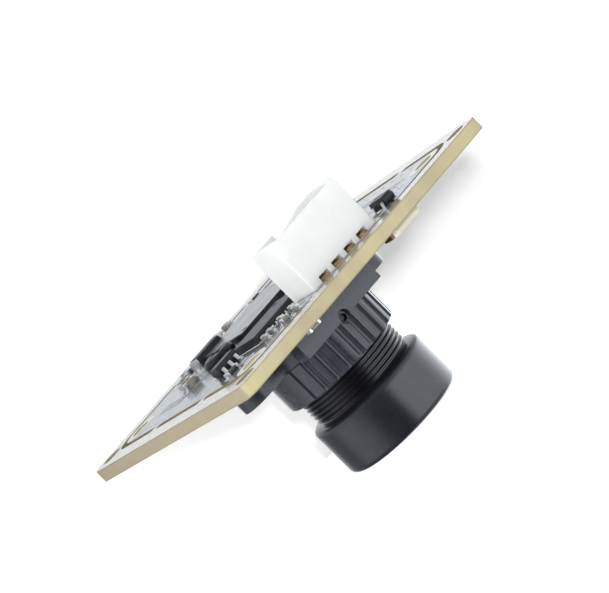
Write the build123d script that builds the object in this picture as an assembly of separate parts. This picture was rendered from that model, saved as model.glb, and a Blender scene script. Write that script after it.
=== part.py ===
from build123d import *
from math import sqrt
import os

# A board camera: a square circuit board with a moulded lens holder on its
# sensor side, a focusing lens screwed into the holder, and a white plug
# socket and chips on the other side. Millimetres, +Z up, the lens's front
# face at the bottom on z = 0 and the lens axis on the Z axis.

# Lens barrel
thread_radius = 5.95
thread_pitch = 0.5
thread_depth = 0.31
thread_flat = 0.06
head_length = 5.65
head_overhang = 1.08
head_edge_radius = 0.6
head_rear_chamfer = 0.3
exposed_thread = 3.05
thread_runout = 0.35
lens_wall = 1.29
flare_overhang = 0.85
flare_depth = 0.9
flare_steps = 3
shoulder_width = 0.35
focus_travel = 0.5
rear_clearance = 0.15

# Glass and rings inside the lens barrel
stack_clearance = 0.05
element_margin = 0.9
front_rim = 1.6
front_bulge = 0.6
front_hollow = 0.5
front_spacer_length = 2.4
middle_rim = 1.6
middle_bulge = 0.5
rear_spacer_length = 1.6
stop_radius = 2.4
stop_thickness = 0.4
rear_rim = 1.8
rear_bulge = 0.45
ring_length = 2.0
ring_wall = 0.8
ring_slot_width = 0.8
ring_slot_depth = 0.5

# Lens holder
thread_clearance = 0.08
holder_wall = 0.85
barrel_height = 3.7
base_height = 3.7
core_wall = 0.45
pad_wall = 0.97
pad_width = 11.9
pad_depth = 1.9
lug_offset = 9.0
lug_wall = 1.25
rim_chamfer = 0.12
flute_count = 9
flute_angle = 13.4
flute_width = 0.9
flute_shift = 2.6
flute_depth = 0.45
end_flute_angle = 66.5
end_flute_width = 0.36
ledge_thickness = 0.6
ledge_width = 0.75
filter_width = 8.0
filter_thickness = 0.5
filter_clearance = 0.05
filter_lip = 0.1

# Sensor under the board
package_width = 7.6
package_height = 0.8
package_floor = 0.3
package_frame = 0.8
cavity_clearance = 0.4
sensor_glass_width = 6.8
sensor_glass_height = 0.35
sensor_glass_gap = 0.35
die_length = 5.4
die_width = 4.2
die_height = 0.25

# Screws
screw_radius = 0.95
screw_clearance = 0.1
screw_bite_clearance = 0.03
screw_head_radius = 1.8
screw_head_height = 1.2
screw_head_edge = 0.5
screw_bite = 2.8
pilot_depth = 3.2
cross_width = 0.45
cross_length = 2.1
cross_depth = 0.6
set_screw_radius = 0.72
set_screw_rise = 0.15
set_screw_recess = 0.4
set_screw_socket = 0.7
set_screw_socket_depth = 0.4

# Circuit board
board_width = 38.0
board_thickness = 1.4
board_corner = 1.2
outer_hole_inset = 2.0
outer_hole_radius = 1.1
inner_hole_inset = 5.0
inner_hole_radius = 1.05
slot_inset = 2.6
slot_width = 0.8
slot_corner = 2.5
bridge_offset = 6.0
bridge_length = 1.1

# Plug socket
socket_x = -0.12
socket_y = -13.35
pin_count = 4
pin_pitch = 2.0
socket_end_margin = 1.95
socket_width = 4.5
socket_height = 6.0
socket_wall = 0.6
socket_end_wall = 0.7
socket_floor = 1.3
socket_near_drop = 0.2
socket_edge_radius = 0.15
key_start = -1.75
key_floor_width = 1.3
key_depth = 1.5
key_lip = 0.6
key_slope_length = 2.9
drain_width = 1.3
drain_height = 0.6
pin_width = 0.5
pin_height = 4.9
pin_tail = 0.5
pin_tip = 0.12
pin_hole_clearance = 0.12
pin_clearance = 0.02

# Large chips: length along X, width along Y, height, and the gaps that place them
processor_screw_gap = 0.15
processor_memory_gap = 2.55
memory_socket_gap = 1.05
memory_regulator_gap = 0.65
processor_length = 10.0
processor_width = 10.0
processor_height = 0.85
processor_pad_count = 18
memory_length = 7.0
memory_width = 5.0
memory_height = 0.75
memory_pad_count = 12
chip_edge = 0.08
dimple_radius = 0.35
dimple_depth = 0.06
dimple_inset = 0.9
pad_pitch = 0.5
pad_strip = 0.24
pad_reach = 0.35
pad_height = 0.2
pad_proud = 0.03

# Small leaded parts
leg_thickness = 0.15
leg_width = 0.4
leg_reach = 0.75
leg_shoulder = 0.18
leg_slope = 0.14
regulator_place = (-12.25, -6.3)
regulator_length = 2.9
regulator_width = 1.6
regulator_height = 1.15
regulator_pitch = 0.95
transistor_x = 7.7
transistor_inset = 4.85
transistor_length = 2.9
transistor_width = 1.4
transistor_height = 1.1
transistor_pitch = 1.9
body_standoff = 0.1
knee_height = 0.62
body_draft = 0.12

# Diode beside the processor and the block under the board
diode_x = -5.4
diode_gap = 0.2
diode_length = 4.0
diode_width = 1.8
diode_height = 1.3
diode_clip = 0.25
choke_x = 7.4
choke_inset = 5.0
choke_length = 4.4
choke_width = 2.0
choke_height = 1.3
choke_clip = 0.3
choke_edge = 0.2

# Chip capacitors and resistors: length, width, height, the metal end, and how
# much slimmer the middle is
part_waist = 0.03
capacitor_size = (1.6, 0.8, 0.85, 0.32)
small_capacitor_size = (1.0, 0.5, 0.5, 0.22)
resistor_size = (1.6, 0.8, 0.45, 0.3)

# Their places: x, y past the processor's far side, turn in degrees
far_capacitor_places = [
    (-7.4, 3.7, 90),
    (-9.0, 1.9, 0),
    (-10.2, -0.4, 0),
    (-10.8, -2.5, 0),
    (-1.5, 5.0, 90),
    (0.3, 5.0, 90),
]
far_resistor_places = [
    (-5.4, 5.0, 90),
    (-4.3, 5.0, 90),
    (-3.2, 5.0, 90),
    (5.0, 5.5, 0),
]

# Places from the left end and the middle line of the socket: x, y, turn
near_capacitor_places = [
    (-5.1, 1.35, 90),
    (-4.2, 1.35, 90),
    (-2.5, 1.5, 90),
    (-1.2, 0.9, 90),
    (-1.9, -0.9, 90),
    (-3.4, -0.6, 0),
]
near_resistor_places = [(-8.8, 3.75, 0)]
under_capacitor_x = -7.74
under_capacitor_inset = 3.6

# Heights and radii that follow from the sizes above
holder_rim = head_length + exposed_thread
base_start = holder_rim + barrel_height
board_under = base_start + base_height
board_top = board_under + board_thickness
head_radius = thread_radius + head_overhang
root_radius = thread_radius - thread_depth
lens_bore = root_radius - lens_wall
bore_radius = thread_radius + thread_clearance
barrel_radius = bore_radius + holder_wall
core_radius = bore_radius + core_wall
pad_face = bore_radius + pad_wall
lug_radius = screw_radius + lug_wall
cavity_width = package_width + 2 * cavity_clearance
cavity_floor = board_under - package_height - sensor_glass_height - sensor_glass_gap
filter_seat = cavity_floor - ledge_thickness
filter_start = filter_seat - filter_thickness
bore_floor = filter_start - filter_lip
lens_rear = bore_floor - focus_travel - rear_clearance
set_screw_z = base_start + set_screw_rise
board_edge = board_width / 2
outer_hole_line = board_edge - outer_hole_inset
inner_hole_line = board_edge - inner_hole_inset
slot_line = board_edge - slot_inset
socket_length = (pin_count - 1) * pin_pitch + 2 * socket_end_margin
stack_radius = lens_bore - stack_clearance
stack_start = flare_depth + stack_clearance
socket_left = socket_x - socket_length / 2
memory_x = regulator_place[0] + regulator_width / 2 + leg_reach + memory_regulator_gap + memory_length / 2
memory_y = socket_y + socket_width / 2 + memory_socket_gap + memory_width / 2
memory_place = (memory_x, memory_y)
screw_side = -lug_offset + screw_head_radius
processor_x = screw_side + processor_screw_gap + pad_reach + processor_length / 2
processor_y = memory_y + memory_width / 2 + processor_memory_gap + processor_width / 2
processor_place = (processor_x, processor_y)
processor_far = processor_y + processor_width / 2
diode_place = (diode_x, processor_far + diode_gap + diode_width / 2)
transistor_place = (transistor_x, transistor_inset - board_edge)
choke_place = (choke_x, choke_inset - board_edge)

SIDES = (-1, 1)
CORNERS = [(x, y) for x in SIDES for y in SIDES]
UP = (Align.CENTER, Align.CENTER, Align.MIN)


def block(length, width, height, x, y, z):
    """A box centred on x and y that stands on the height z."""
    return Pos(x, y, z) * Box(length, width, height, align=UP)


def rod(radius, height, x, y, z):
    """An upright cylinder that stands on the height z."""
    return Pos(x, y, z) * Cylinder(radius, height, align=UP)


# Circuit board

def slot_outline():
    """The milled line round the inner board, broken at eight bridges."""
    half = slot_width / 2
    outside = 2 * (slot_line + half)
    inside = 2 * (slot_line - half)
    ring = RectangleRounded(outside, outside, slot_corner + half)
    ring -= RectangleRounded(inside, inside, slot_corner - half)
    for turn in (0, 90, 180, 270):
        for side in SIDES:
            middle = Rot(0, 0, turn) * Pos(side * bridge_offset, slot_line)
            ring -= middle * Rectangle(bridge_length + slot_width, 2 * slot_width)
            for end in SIDES:
                ring += middle * Pos(end * (bridge_length + slot_width) / 2, 0) * Circle(half)
    return ring


def circuit_board():
    """The board with its snap-off frame line, mounting holes and pin holes."""
    plate = RectangleRounded(board_width, board_width, board_corner)
    for x, y in CORNERS:
        plate -= Pos(x * outer_hole_line, y * outer_hole_line) * Circle(outer_hole_radius)
        plate -= Pos(x * inner_hole_line, y * inner_hole_line) * Circle(inner_hole_radius)
    for side in SIDES:
        plate -= Pos(side * lug_offset, 0) * Circle(screw_radius + screw_clearance)
    for x in pin_places():
        plate -= Pos(x, socket_y) * Circle(pin_width / sqrt(2) + pin_hole_clearance)
    plate -= slot_outline()
    return Pos(0, 0, board_under) * extrude(plate, board_thickness)


# Lens holder

def flute(angle, width):
    """The tool for one round-floored groove down the holder's barrel."""
    radius = width / 2
    centre = barrel_radius - flute_depth + radius
    groove = rod(radius, barrel_height, centre, 0, holder_rim)
    groove += block(flute_depth, width, barrel_height, centre + flute_depth / 2, 0, holder_rim)
    return Rot(0, 0, angle) * groove


def holder_barrel():
    """The fluted barrel, plain where it faces the two lugs."""
    barrel = rod(barrel_radius, barrel_height, 0, 0, holder_rim)
    barrel = chamfer(barrel.edges().group_by(Axis.Z)[0], rim_chamfer)
    middle = (flute_count - 1) / 2
    for face in (-90, 90):
        for number in range(flute_count):
            angle = face + flute_shift + (number - middle) * flute_angle
            barrel -= flute(angle, flute_width)
        for side in SIDES:
            barrel -= flute(face + side * end_flute_angle, end_flute_width)
    return barrel


def holder_base():
    """The foot: a round core, two flat pads and the two screw lugs."""
    outline = Circle(core_radius)
    for side in SIDES:
        outline += Pos(0, side * (pad_face - pad_depth / 2)) * Rectangle(pad_width, pad_depth)
        outline += Pos(side * lug_offset, 0) * Circle(lug_radius)
    outline += Rectangle(2 * lug_offset, 2 * lug_radius)
    return Pos(0, 0, base_start) * extrude(outline, base_height)


def lens_holder():
    """One moulding: barrel and foot, bored for the lens, filter and sensor."""
    body = holder_barrel() + holder_base()
    body -= rod(bore_radius, bore_floor - holder_rim, 0, 0, holder_rim)
    pocket = filter_width + 2 * filter_clearance
    body -= block(pocket, pocket, filter_seat - bore_floor, 0, 0, bore_floor)
    window = filter_width - 2 * ledge_width
    body -= block(window, window, ledge_thickness, 0, 0, filter_seat)
    body -= block(cavity_width, cavity_width, board_under - cavity_floor, 0, 0, cavity_floor)
    for side in SIDES:
        pilot = screw_radius + screw_bite_clearance
        body -= rod(pilot, pilot_depth, side * lug_offset, 0, board_under - pilot_depth)
    tap = set_screw_radius + screw_bite_clearance
    body -= Pos(0, -pad_face / 2, set_screw_z) * Rot(90, 0, 0) * Cylinder(tap, pad_face)
    return body


# Screws

def holder_screw(x):
    """A pan head screw driven from the chip side, with a cross recess."""
    head = rod(screw_head_radius, screw_head_height, x, 0, board_top)
    head = fillet(head.edges().group_by(Axis.Z)[-1], screw_head_edge)
    floor = board_top + screw_head_height - cross_depth
    head -= block(cross_length, cross_width, cross_depth, x, 0, floor)
    head -= block(cross_width, cross_length, cross_depth, x, 0, floor)
    shank = rod(screw_radius, board_thickness + screw_bite, x, 0, board_under - screw_bite)
    tip = chamfer(shank.edges().group_by(Axis.Z)[0], screw_radius / 2)
    return head + tip


def holder_screws():
    """The two screws that hold the lens holder to the board."""
    return [holder_screw(side * lug_offset) for side in SIDES]


def set_screw():
    """The headless screw in the holder's front face, with a six-sided socket."""
    length = pad_face - bore_radius - set_screw_recess
    screw = Cylinder(set_screw_radius, length)
    driver = RegularPolygon(set_screw_socket / 2, 6, major_radius=False)
    screw -= Pos(0, 0, length / 2 - set_screw_socket_depth) * extrude(driver, length)
    return Pos(0, -bore_radius - length / 2, set_screw_z) * Rot(90, 0, 0) * screw


# Lens barrel

def thread_ridge(start, length):
    """One helical ridge with sloped flanks, its foot sunk in the barrel."""
    foot = thread_depth / 5
    slant = thread_pitch / 2 - 2 * thread_runout * foot
    path = Pos(0, 0, start) * Helix(pitch=thread_pitch, height=length, radius=root_radius)
    across = Plane(origin=path @ 0, x_dir=Vector(1, 0, 0), z_dir=path % 0)
    half = thread_flat / 2
    corners = [(-foot, -slant), (thread_depth, -half), (thread_depth, half), (-foot, slant)]
    profile = across * make_face(Polyline(corners, close=True))
    return sweep(profile, path=path, is_frenet=True)


def front_flare():
    """The tool for the stepped black opening in front of the glass."""
    opening = lens_bore - shoulder_width
    step = flare_depth / flare_steps
    widening = flare_overhang / flare_steps
    tool = rod(opening, flare_depth, 0, 0, 0)
    for number in range(flare_steps):
        radius = opening + (flare_steps - number) * widening
        tool += rod(radius, step, 0, 0, number * step)
    return tool


def lens_barrel():
    """Head and threaded body in one piece, bored from the back for the glass."""
    head = rod(head_radius, head_length, 0, 0, 0)
    head = chamfer(head.edges().group_by(Axis.Z)[-1], head_rear_chamfer)
    head = fillet(head.edges().group_by(Axis.Z)[0], head_edge_radius)
    neck = rod(root_radius, lens_rear - head_length, 0, 0, head_length)
    start = head_length + thread_runout
    ridge = thread_ridge(start, lens_rear - thread_runout - start)
    barrel = head + neck + ridge
    barrel -= rod(lens_bore, lens_rear - flare_depth, 0, 0, flare_depth)
    barrel -= front_flare()
    return barrel


# Glass and rings

def dome(reach, start, bulge):
    """An arc from the axis to a radius, its middle found on its circle."""
    size = (reach**2 + bulge**2) / (2 * abs(bulge))
    way = 1 if bulge > 0 else -1
    centre = start + bulge - way * size
    middle = centre + way * sqrt(size**2 - (reach / 2) ** 2)
    return ThreePointArc((0, 0, start + bulge), (reach / 2, 0, middle), (reach, 0, start))


def glass(start, rim, front, rear):
    """A round element: a flat rim, a front face and a rear face, each an arc."""
    reach = stack_radius - element_margin
    end = start + rim
    front_arc = dome(reach, start, front)
    rear_arc = dome(reach, end, rear)
    edge = Polyline([front_arc @ 1, (stack_radius, 0, start), (stack_radius, 0, end), rear_arc @ 1])
    axis = Line(rear_arc @ 0, front_arc @ 0)
    return revolve(make_face([front_arc, edge, rear_arc, axis]), Axis.Z)


def ring(start, length, wall):
    """A plain ring that fills the lens bore."""
    return rod(stack_radius, length, 0, 0, start) - rod(stack_radius - wall, length, 0, 0, start)


def glass_stack():
    """Every piece inside the lens, each resting on the one in front of it."""
    pieces = {}
    z = stack_start
    pieces["front_element"] = glass(z, front_rim, -front_bulge, -front_hollow)
    z += front_rim
    pieces["front_spacer"] = ring(z, front_spacer_length, element_margin)
    z += front_spacer_length
    pieces["middle_element"] = glass(z, middle_rim, -middle_bulge, middle_bulge)
    z += middle_rim
    spacer = ring(z, rear_spacer_length, element_margin)
    spacer += ring(z + rear_spacer_length - stop_thickness, stop_thickness, stack_radius - stop_radius)
    pieces["stop_spacer"] = spacer
    z += rear_spacer_length
    pieces["rear_element"] = glass(z, rear_rim, front_hollow, rear_bulge)
    z += rear_rim
    retainer = ring(z, ring_length, ring_wall)
    slot_floor = z + ring_length - ring_slot_depth
    retainer -= block(2 * stack_radius, ring_slot_width, ring_slot_depth, 0, 0, slot_floor)
    pieces["retaining_ring"] = retainer
    return pieces


# Filter and sensor

def ir_filter():
    """The square glass filter against the ledge inside the holder."""
    return block(filter_width, filter_width, filter_thickness, 0, 0, filter_start)


def sensor_package():
    """The sensor's open tray, its floor against the board."""
    start = board_under - package_height
    body = block(package_width, package_width, package_height, 0, 0, start)
    inside = package_width - 2 * package_frame
    return body - block(inside, inside, package_height - package_floor, 0, 0, start)


def sensor_die():
    """The image sensor itself, on the tray's floor."""
    start = board_under - package_floor - die_height
    return block(die_length, die_width, die_height, 0, 0, start)


def sensor_glass():
    """The clear lid on the tray's frame."""
    start = board_under - package_height - sensor_glass_height
    return block(sensor_glass_width, sensor_glass_width, sensor_glass_height, 0, 0, start)


# Plug socket

def pin_places():
    """The pins' places along X."""
    first = socket_x - (pin_count - 1) * pin_pitch / 2
    return [first + number * pin_pitch for number in range(pin_count)]


def key_notch(wall_y, top):
    """The tool for the key in the far wall: one side upright, the other a long slope."""
    start = socket_x + key_start
    end = start + key_floor_width
    outline = [
        (start, top),
        (start, top - key_depth),
        (end, top - key_depth),
        (end, top - key_lip),
        (end + key_slope_length, top),
    ]
    face = make_face(Polyline([(x, wall_y, z) for x, z in outline], close=True))
    return extrude(face, socket_wall, dir=(0, 1, 0), both=True)


def socket_housing():
    """The white shroud, open at the top, with a key notch and drain notches."""
    body = block(socket_length, socket_width, socket_height, socket_x, socket_y, board_top)
    body = fillet(body.edges().filter_by(Axis.Z), socket_edge_radius)
    well_length = socket_length - 2 * socket_end_wall
    well_width = socket_width - 2 * socket_wall
    well_depth = socket_height - socket_floor
    body -= block(well_length, well_width, well_depth, socket_x, socket_y, board_top + socket_floor)
    near_y = socket_y - (socket_width - socket_wall) / 2
    far_y = socket_y + (socket_width - socket_wall) / 2
    top = board_top + socket_height
    body -= block(well_length, socket_wall, socket_near_drop, socket_x, near_y, top - socket_near_drop)
    body -= key_notch(far_y, top)
    for x in pin_places():
        body -= block(drain_width, socket_width, drain_height, x, socket_y, board_top)
        hole = pin_width + 2 * pin_clearance
        body -= block(hole, hole, socket_floor, x, socket_y, board_top)
    return body


def socket_pins():
    """Four square pins through the floor of the shroud and the board."""
    start = board_under - pin_tail
    height = board_thickness + pin_tail + pin_height
    pins = []
    for x in pin_places():
        pin = block(pin_width, pin_width, height, x, socket_y, start)
        ends = pin.edges().group_by(Axis.Z)
        pins.append(chamfer(ends[0] + ends[-1], pin_tip))
    return pins


# Large chips

def edge_pads(place, length, width, count, ends_too):
    """Short metal pads along a chip's sides, a little proud of them."""
    x, y = place
    pads = []
    sides = [(0, length, width), (180, length, width)]
    if ends_too:
        sides += [(90, width, length), (270, width, length)]
    for turn, run, depth in sides:
        for number in range(count):
            along = (number - (count - 1) / 2) * pad_pitch
            out = depth / 2 + pad_proud - pad_reach / 2
            spot = Pos(x, y, 0) * Rot(0, 0, turn)
            pads.append(spot * block(pad_strip, pad_reach, pad_height, along, out, board_top))
    return pads


def chip_body(place, length, width, height, pads, dimple_x, dimple_y):
    """A flat moulded chip with a round dimple near its first pad."""
    x, y = place
    body = block(length, width, height, x, y, board_top)
    body = chamfer(body.edges().group_by(Axis.Z)[-1], chip_edge)
    spot_x = x + dimple_x * (length / 2 - dimple_inset)
    spot_y = y + dimple_y * (width / 2 - dimple_inset)
    body -= rod(dimple_radius, dimple_depth, spot_x, spot_y, board_top + height - dimple_depth)
    return body - pads


def processor_pads():
    """The pads on all four sides of the processor."""
    return edge_pads(processor_place, processor_length, processor_width, processor_pad_count, True)


def processor_chip():
    """The large square chip in the middle of the board."""
    return chip_body(
        processor_place, processor_length, processor_width, processor_height, processor_pads(), -1, -1
    )


def memory_pads():
    """The pads on the two long sides of the memory chip."""
    return edge_pads(memory_place, memory_length, memory_width, memory_pad_count, False)


def memory_chip():
    """The smaller flat chip beside it."""
    return chip_body(
        memory_place, memory_length, memory_width, memory_height, memory_pads(), 1, 1
    )


# Small leaded parts

def drafted_body(place, length, width, height):
    """A moulded body, widest at the legs and sloped above and below them."""
    x, y = place
    low = board_top + body_standoff
    middle = board_top + knee_height
    high = board_top + height
    wide = Pos(x, y, middle) * Rectangle(length, width)
    slim_length = length - 2 * body_draft
    slim_width = width - 2 * body_draft
    lower = loft([Pos(x, y, low) * Rectangle(slim_length, slim_width), wide])
    upper = loft([wide, Pos(x, y, high) * Rectangle(slim_length, slim_width)])
    return lower + upper


def gull_leg(place, turn, out, along):
    """One bent leg: it leaves the body at the knee and ends in a flat foot."""
    inner = leg_thickness / 2
    side = [
        (0, knee_height + inner),
        (leg_shoulder, knee_height + inner),
        (leg_shoulder + leg_slope, leg_thickness),
        (leg_reach, leg_thickness),
        (leg_reach, 0),
        (leg_shoulder + leg_slope - inner, 0),
        (leg_shoulder - inner, knee_height - inner),
        (0, knee_height - inner),
    ]
    outline = make_face(Polyline([(x, 0, z) for x, z in side], close=True))
    leg = extrude(outline, leg_width / 2, dir=(0, 1, 0), both=True)
    spot = Pos(place[0], place[1], board_top) * Rot(0, 0, turn)
    return spot * Pos(out, along, 0) * leg


def leg_root(width):
    """How far from the middle a leg starts, where the draft meets its edge."""
    slope = body_draft / (knee_height - body_standoff)
    return width / 2 - slope * leg_thickness / 2


def regulator_legs():
    """Three legs on each long side."""
    legs = []
    for turn in (-90, 90):
        for number in (-1, 0, 1):
            out = leg_root(regulator_width)
            legs.append(gull_leg(regulator_place, turn, out, number * regulator_pitch))
    return legs


def regulator_body():
    """The six-leg regulator's moulding, notched for its legs."""
    body = drafted_body(regulator_place, regulator_length, regulator_width, regulator_height)
    return body - regulator_legs()


def transistor_legs():
    """Two legs on the side that faces the socket and one on the other."""
    out = leg_root(transistor_width)
    legs = [gull_leg(transistor_place, 0, out, 0)]
    for side in SIDES:
        legs.append(gull_leg(transistor_place, 180, out, side * transistor_pitch / 2))
    return legs


def transistor_body():
    """The three-leg transistor's moulding, notched for its legs."""
    body = drafted_body(transistor_place, transistor_width, transistor_length, transistor_height)
    return body - transistor_legs()


# Two-ended parts

def end_clips(place, length, width, height, clip, start):
    """Flat metal ends of a block."""
    x, y = place
    out = (length - clip) / 2
    return [block(clip, width, height, x + side * out, y, start) for side in SIDES]


def diode_body():
    """The black block beside the processor."""
    x, y = diode_place
    body = block(diode_length - 2 * diode_clip, diode_width, diode_height, x, y, board_top)
    return chamfer(body.edges().group_by(Axis.Z)[-1], chip_edge)


def diode_clips():
    """Its two bright end clips."""
    height = diode_height - chip_edge
    return end_clips(diode_place, diode_length, diode_width, height, diode_clip, board_top)


def choke_body():
    """The cream block under the board's front edge."""
    x, y = choke_place
    start = board_under - choke_height
    body = block(choke_length - 2 * choke_clip, choke_width, choke_height, x, y, start)
    return chamfer(body.edges().filter_by(Axis.X).group_by(Axis.Z)[0], choke_edge)


def choke_clips():
    """Its two dark end terminals."""
    height = choke_height - choke_edge
    start = board_under - height
    return end_clips(choke_place, choke_length, choke_width - 2 * choke_edge, height, choke_clip, start)


def chip_part(spot, size):
    """The middle and the two metal ends of a chip part, as three solids."""
    length, width, height, end = size
    middle = Box(length - 2 * end, width - 2 * part_waist, height - part_waist, align=UP)
    out = (length - end) / 2
    ends = [spot * Pos(side * out, 0, 0) * Box(end, width, height, align=UP) for side in SIDES]
    return spot * middle, ends


def chip_parts(parts):
    """The middles and the ends of several chip parts, each given as spot and size."""
    bodies = []
    ends = []
    for spot, size in parts:
        middle, pair = chip_part(spot, size)
        bodies.append(middle)
        ends += pair
    return bodies, ends


def far_spots(places):
    """Spots on the board measured from the processor's far side."""
    return [Pos(x, processor_far + y, board_top) * Rot(0, 0, turn) for x, y, turn in places]


def near_spots(places):
    """Spots on the board measured from the socket's left end and middle line."""
    return [Pos(socket_left + x, socket_y + y, board_top) * Rot(0, 0, turn) for x, y, turn in places]


def capacitors():
    """Every chip capacitor, the last one hanging under the board."""
    parts = [(spot, capacitor_size) for spot in far_spots(far_capacitor_places)]
    parts += [(spot, small_capacitor_size) for spot in near_spots(near_capacitor_places)]
    under = Pos(under_capacitor_x, under_capacitor_inset - board_edge, board_under) * Rot(180, 0, 0)
    return chip_parts(parts + [(under, capacitor_size)])


def resistors():
    """Every chip resistor."""
    spots = far_spots(far_resistor_places) + near_spots(near_resistor_places)
    return chip_parts([(spot, resistor_size) for spot in spots])


def all_nodes():
    """Every named piece, or group of like pieces."""
    capacitor_bodies, capacitor_ends = capacitors()
    resistor_bodies, resistor_ends = resistors()
    nodes = {
        "circuit_board": circuit_board(),
        "lens_holder": lens_holder(),
        "holder_screws": holder_screws(),
        "set_screw": set_screw(),
        "lens_barrel": lens_barrel(),
        "ir_filter": ir_filter(),
        "sensor_package": sensor_package(),
        "sensor_die": sensor_die(),
        "sensor_glass": sensor_glass(),
        "socket_housing": socket_housing(),
        "socket_pins": socket_pins(),
        "processor_chip": processor_chip(),
        "processor_pads": processor_pads(),
        "memory_chip": memory_chip(),
        "memory_pads": memory_pads(),
        "regulator_body": regulator_body(),
        "regulator_legs": regulator_legs(),
        "transistor_body": transistor_body(),
        "transistor_legs": transistor_legs(),
        "diode_body": diode_body(),
        "diode_clips": diode_clips(),
        "choke_body": choke_body(),
        "choke_clips": choke_clips(),
        "capacitor_bodies": capacitor_bodies,
        "capacitor_ends": capacitor_ends,
        "resistor_bodies": resistor_bodies,
        "resistor_ends": resistor_ends,
    }
    nodes.update(glass_stack())
    return nodes


os.makedirs("parts", exist_ok=True)
for name, shape in all_nodes().items():
    solids = shape if isinstance(shape, list) else [shape]
    group = solids[0] if len(solids) == 1 else Compound(children=solids)
    export_step(group, f"parts/{name}.step")
    print(name, len(group.solids()), round(group.volume, 3))
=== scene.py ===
import logging
import math
from dataclasses import dataclass
from enum import Enum
from typing import Dict, List, Optional, Sequence, Tuple, Union

import bmesh
import bpy
import numpy as np
from mathutils import Matrix, Vector


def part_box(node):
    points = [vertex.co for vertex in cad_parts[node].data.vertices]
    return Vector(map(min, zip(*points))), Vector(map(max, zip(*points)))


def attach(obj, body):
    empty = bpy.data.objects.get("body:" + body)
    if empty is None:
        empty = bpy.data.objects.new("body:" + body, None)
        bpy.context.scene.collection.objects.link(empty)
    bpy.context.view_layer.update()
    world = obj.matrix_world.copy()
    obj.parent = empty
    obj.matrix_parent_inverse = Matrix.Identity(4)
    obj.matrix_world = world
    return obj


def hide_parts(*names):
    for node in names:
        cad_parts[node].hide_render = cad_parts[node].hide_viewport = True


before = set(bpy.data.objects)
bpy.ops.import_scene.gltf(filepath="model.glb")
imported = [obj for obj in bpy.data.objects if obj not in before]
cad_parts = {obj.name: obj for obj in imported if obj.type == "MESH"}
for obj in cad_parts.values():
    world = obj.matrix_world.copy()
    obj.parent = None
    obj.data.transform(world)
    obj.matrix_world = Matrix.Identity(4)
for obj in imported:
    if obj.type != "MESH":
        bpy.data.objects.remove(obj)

LOG = logging.getLogger("board_camera")
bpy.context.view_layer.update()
MM = 0.001
ROOT = "root"
GLASS = "glass_stack"
LENS = "lens"
# Points nearer than a seam are one point, and edges shorter than a sliver go.
SEAM = 0.0002 * MM
SLIVER = 0.0001 * MM
CAD_SEAM = 0.0005 * MM
FLAT_ANGLE = math.radians(0.5)
EDGE_ANGLE = math.radians(32.0)
SMOOTH_ANGLE = math.radians(40.0)
# The share of a thin trim's height that its sloped sides take across.
BANK = 0.8
# A pad's points round its outline and the shares at which its dome's rings lie.
CUSHION_POINTS = 24
DOME_SHARES = (0.92, 0.7, 0.4, 0.0)
FILLET_STEPS = 6
WHITE = (1.0, 1.0, 1.0, 1.0)

Colour = Tuple[float, float, float]
Box = Tuple[np.ndarray, np.ndarray]


def solid_colour(colour: Colour) -> Tuple[float, float, float, float]:
    """Returns the colour with full alpha."""
    return (colour[0], colour[1], colour[2], 1.0)


class Signal:
    """A shader value that is added, multiplied and compared as in plain arithmetic."""

    def __init__(self, bench: "MaterialBench", socket: bpy.types.NodeSocket) -> None:
        """Args: bench: the material being made. socket: the output that carries the value."""
        self.bench = bench
        self.socket = socket

    def __add__(self, other: "Value") -> "Signal":
        """Returns the sum."""
        return self.bench.math("ADD", self, other)

    __radd__ = __add__

    def __mul__(self, other: "Value") -> "Signal":
        """Returns the product."""
        return self.bench.math("MULTIPLY", self, other)

    __rmul__ = __mul__

    def __sub__(self, other: "Value") -> "Signal":
        """Returns the difference."""
        return self.bench.math("SUBTRACT", self, other)

    def __rsub__(self, other: "Value") -> "Signal":
        """Returns the difference the other way round."""
        return self.bench.math("SUBTRACT", other, self)

    def size(self) -> "Signal":
        """Returns the value without its sign."""
        return self.bench.math("ABSOLUTE", self)

    def wave(self) -> "Signal":
        """Returns the sine of the value."""
        return self.bench.math("SINE", self)

    def most(self, other: "Value") -> "Signal":
        """Returns the larger of two values."""
        return self.bench.math("MAXIMUM", self, other)

    def least(self, other: "Value") -> "Signal":
        """Returns the smaller of two values."""
        return self.bench.math("MINIMUM", self, other)

    def rise(self, low: float, high: float) -> "Signal":
        """Carries the value to a smooth step.

        Args:
            low: the value that gives 0.
            high: the value that gives 1.

        Returns:
            A signal from 0 to 1.
        """
        node = self.bench.node(
            "ShaderNodeMapRange",
            {"interpolation_type": "SMOOTHSTEP"},
            {"Value": self, "From Min": low, "From Max": high, "To Min": 0.0, "To Max": 1.0},
        )
        return Signal(self.bench, node.outputs["Result"])


Value = Union[Signal, float]


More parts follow.
